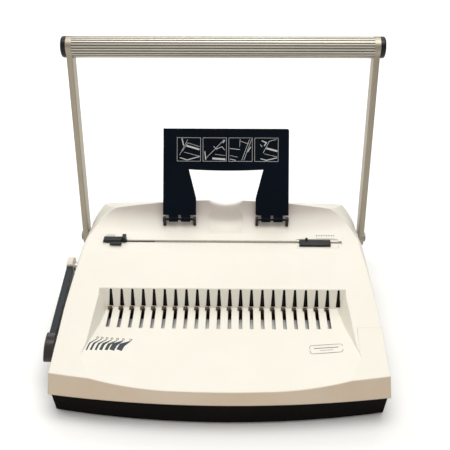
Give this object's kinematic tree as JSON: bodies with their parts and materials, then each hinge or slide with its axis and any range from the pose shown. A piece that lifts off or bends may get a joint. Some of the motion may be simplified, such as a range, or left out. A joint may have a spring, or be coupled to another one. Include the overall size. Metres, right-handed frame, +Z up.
{
  "type": "comb binding machine",
  "caption": "Desktop manual comb binding machine with a pull-forward punch handle, a side comb-opening lever, a slotted comb recess, a folding paper support and a slide-out waste tray.",
  "frame": {"origin": "on the table, under the middle of the machine's outline", "axes": "+X along the machine to the right of a person in front of it, +Y away from that person, +Z up"},
  "size_m": [0.4335, 0.368, 0.3453],
  "materials": {
    "cover_plastic": "fine satin moulded texture",
    "base_plastic": "fine matte moulded texture",
    "foot_rubber": "matte",
    "tray_plastic": "matte moulded",
    "frame_steel": "zinc-plated sheet",
    "black_steel": "blackened",
    "tool_steel": "ground and oiled",
    "bright_steel": "turned",
    "screw_steel": "dark zinc",
    "spring_steel": "drawn wire",
    "bronze": "sintered bronze",
    "hook_steel": "dark bronze plating",
    "anodised": "champagne anodised, satin",
    "grip_metal": "fluted satin",
    "black_plastic": "semi-gloss moulded",
    "support_plastic": "satin dark navy",
    "lever_plastic": "satin moulded",
    "sleeve_plastic": "satin slate",
    "nose_plastic": "polished",
    "acetal": "moulded acetal",
    "tab_plastic": "frosted"
  },
  "bodies": {
    "housing": {"base_pan": "base_plastic", "rubber_feet": "foot_rubber", "housing_screws": "screw_steel", "slide_posts": "bright_steel", "top_cover": "cover_plastic", "side_frame_left": "frame_steel", "side_frame_right": "frame_steel", "frame_tie_bars": "bright_steel", "frame_screws": "screw_steel", "shaft_bushes": "bronze", "lever_bush": "bronze", "front_die": "tool_steel", "stripper_plate": "tool_steel", "paper_stop": "frame_steel", "guide_rods": "bright_steel", "return_springs": "spring_steel", "comb_rack": "black_steel", "support_bracket_left": "black_plastic", "support_bracket_right": "black_plastic", "support_hinge_pins": "black_steel"},
    "handle": {"handle_shaft": "bright_steel", "press_cam_left": "tool_steel", "press_cam_right": "tool_steel", "handle_arm_left": "anodised", "handle_arm_right": "anodised", "grip_tube": "grip_metal", "grip_tie_rod": "bright_steel", "grip_cap_left": "black_plastic", "grip_cap_right": "black_plastic", "handle_screws": "screw_steel"},
    "punch": {"pressure_bar": "tool_steel", "punch_pins": "tool_steel"},
    "lever": {"lever_shaft": "bright_steel", "pinion_sector": "acetal", "lever_arm": "lever_plastic", "lever_sleeve": "sleeve_plastic", "lever_nose": "nose_plastic", "lever_screw": "screw_steel"},
    "comb_slide": {"hook_plate": "frame_steel", "comb_hooks": "hook_steel", "drive_rack": "acetal"},
    "edge_guide": {"edge_guide": "black_plastic", "guide_tab": "tab_plastic"},
    "margin_selector": {"margin_selector": "black_plastic"},
    "paper_support": {"paper_support": "support_plastic"},
    "waste_tray": {"waste_tray": "tray_plastic", "tray_front": "tray_plastic"}
  },
  "joints": [
    {"name": "handle_pull", "type": "hinge", "parent": "housing", "child": "handle", "pos_m": [0, 0.11, 0.06], "axis": [1, 0, 0], "range_deg": [0, 75]},
    {"name": "punch_press", "type": "slide", "parent": "housing", "child": "punch", "axis": [0, -1, 0], "range_m": [0, 0.01], "deforming": ["return_springs"]},
    {"name": "comb_lever_lift", "type": "hinge", "parent": "housing", "child": "lever", "pos_m": [0, 0.034, 0.063], "axis": [-1, 0, 0], "range_deg": [0, 80]},
    {"name": "comb_open", "type": "slide", "parent": "housing", "child": "comb_slide", "axis": [0, -1, 0], "range_m": [0, 0.02795]},
    {"name": "edge_guide_slide", "type": "slide", "parent": "housing", "child": "edge_guide", "axis": [1, 0, 0], "range_m": [0, 0.034]},
    {"name": "margin_select", "type": "slide", "parent": "housing", "child": "margin_selector", "axis": [1, 0, 0], "range_m": [0, 0.008]},
    {"name": "support_fold", "type": "hinge", "parent": "housing", "child": "paper_support", "pos_m": [0.0045, 0.08, 0.113], "axis": [1, 0, 0], "range_deg": [0, 130]},
    {"name": "waste_tray_pull", "type": "slide", "parent": "housing", "child": "waste_tray", "axis": [1, 0, 0], "range_m": [0, 0.25]}
  ],
  "couplings": [
    {"joint": "punch_press", "follows": "handle_pull", "m_per_rad": 0.0076394},
    {"joint": "comb_open", "follows": "comb_lever_lift", "m_per_rad": 0.02}
  ]
}
